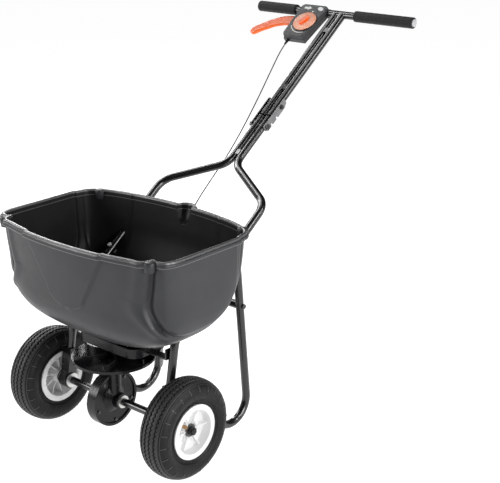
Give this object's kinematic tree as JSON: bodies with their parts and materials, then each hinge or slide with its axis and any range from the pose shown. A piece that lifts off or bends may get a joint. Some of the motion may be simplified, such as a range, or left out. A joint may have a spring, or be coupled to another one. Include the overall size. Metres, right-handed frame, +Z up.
{
  "type": "garden spreader",
  "caption": "Push-along broadcast spreader with a moulded hopper, gear-driven impeller, pneumatic wheels, bent tube frame with stand and a folding T-bar handle.",
  "frame": {"origin": "on the floor, under the middle of the whole object's bounding box", "axes": "+Y back towards the handlebar, +X to the right seen from the front, +Z up"},
  "size_m": [0.6053, 1.1218, 1.0374],
  "materials": {
    "powder_coat": "gloss black powder coat",
    "grey_paint": "satin grey paint",
    "zinc": "zinc plated",
    "brass": "bright brass",
    "hopper_plastic": "satin charcoal moulded plastic",
    "black_plastic": "satin black moulded plastic",
    "white_plastic": "gloss white moulded plastic",
    "grey_plastic": "light grey plastic",
    "orange_plastic": "satin orange plastic",
    "nylon": "plain nylon",
    "tyre_rubber": "matt rubber with moulded tread",
    "foam": "fine foam",
    "cable_jacket": "smooth sheath"
  },
  "bodies": {
    "frame": {"axle_bracket_left": "powder_coat", "axle_bracket_right": "powder_coat", "axle_bushes": "zinc", "base_tray": "black_plastic", "control_cable": "cable_jacket", "fold_pivot_bolt": "powder_coat", "frame_bolts": "zinc", "gear_housing_left": "black_plastic", "gear_housing_right": "black_plastic", "hopper": "hopper_plastic", "housing_bushes": "zinc", "housing_screws": "powder_coat", "rear_shield": "black_plastic", "shaft_bush": "nylon", "side_tube_left": "powder_coat", "side_tube_right": "powder_coat", "stand_bolts": "powder_coat", "stand_braces": "powder_coat", "stand_cross_tube": "powder_coat", "stand_foot_plugs": "black_plastic", "stand_leg_left": "powder_coat", "stand_leg_right": "powder_coat", "support_bars": "powder_coat", "yoke_tab": "powder_coat"},
    "drive_axle": {"axle": "powder_coat", "axle_spacers": "zinc", "drive_pin": "zinc", "crown_gear": "nylon", "tyre_right": "tyre_rubber", "rim_right": "white_plastic", "hub_bushes_right": "nylon", "hub_cap_right": "black_plastic", "hub_cap_left": "black_plastic", "valve_stem_right": "brass"},
    "free_wheel": {"tyre_left": "tyre_rubber", "rim_left": "white_plastic", "hub_bushes_left": "nylon", "valve_stem_left": "brass"},
    "impeller_group": {"impeller_shaft": "zinc", "pinion": "nylon", "impeller": "black_plastic", "agitator": "zinc"},
    "upper_handle": {"upper_handle_tube_left": "powder_coat", "upper_handle_tube_right": "powder_coat", "handlebar": "powder_coat", "grip_left": "foam", "grip_right": "foam", "grip_plugs": "grey_plastic", "handle_tabs": "powder_coat", "plate_bolt": "powder_coat", "fold_plate_left": "powder_coat", "fold_plate_right": "grey_paint", "control_box_base": "black_plastic", "control_box_cover": "black_plastic", "control_box_screws": "zinc", "lever_pin": "zinc", "cable_boot": "cable_jacket"},
    "dial": {"rate_dial": "orange_plastic"},
    "trigger": {"trigger_lever": "orange_plastic"},
    "gate": {"shutoff_gate": "zinc"}
  },
  "joints": [
    {"name": "axle_spin", "type": "hinge", "parent": "frame", "child": "drive_axle", "pos_m": [0, -0.39588, 0.13], "axis": [1, 0, 0], "continuous": true},
    {"name": "free_wheel_spin", "type": "hinge", "parent": "frame", "child": "free_wheel", "pos_m": [-0.245, -0.39588, 0.13], "axis": [1, 0, 0], "continuous": true},
    {"name": "impeller_spin", "type": "hinge", "parent": "frame", "child": "impeller_group", "pos_m": [0, -0.39588, 0.25], "axis": [0, 0, 1], "continuous": true},
    {"name": "handle_fold", "type": "hinge", "parent": "frame", "child": "upper_handle", "pos_m": [0, 0.18301, 0.7498], "axis": [1, 0, 0], "range_deg": [0, 138], "deforming": ["control_cable"]},
    {"name": "trigger_squeeze", "type": "hinge", "parent": "upper_handle", "child": "trigger", "pos_m": [-0.104, 0.50399, 0.98682], "axis": [0, 0.592, -0.8059], "range_deg": [0, 10], "stiffness_Nm_per_rad": 1.5, "springref_deg": -8.59},
    {"name": "dial_turn", "type": "hinge", "parent": "upper_handle", "child": "dial", "pos_m": [-0.079, 0.48108, 0.99605], "axis": [0, -0.592, 0.8059], "range_deg": [0, 270]},
    {"name": "gate_slide", "type": "slide", "parent": "frame", "child": "gate", "axis": [0, 1, 0], "range_m": [0, 0.045]}
  ],
  "couplings": [
    {"joint": "impeller_spin", "follows": "axle_spin", "ratio": 5},
    {"joint": "gate_slide", "follows": "trigger_squeeze", "m_per_rad": 0.2578}
  ]
}
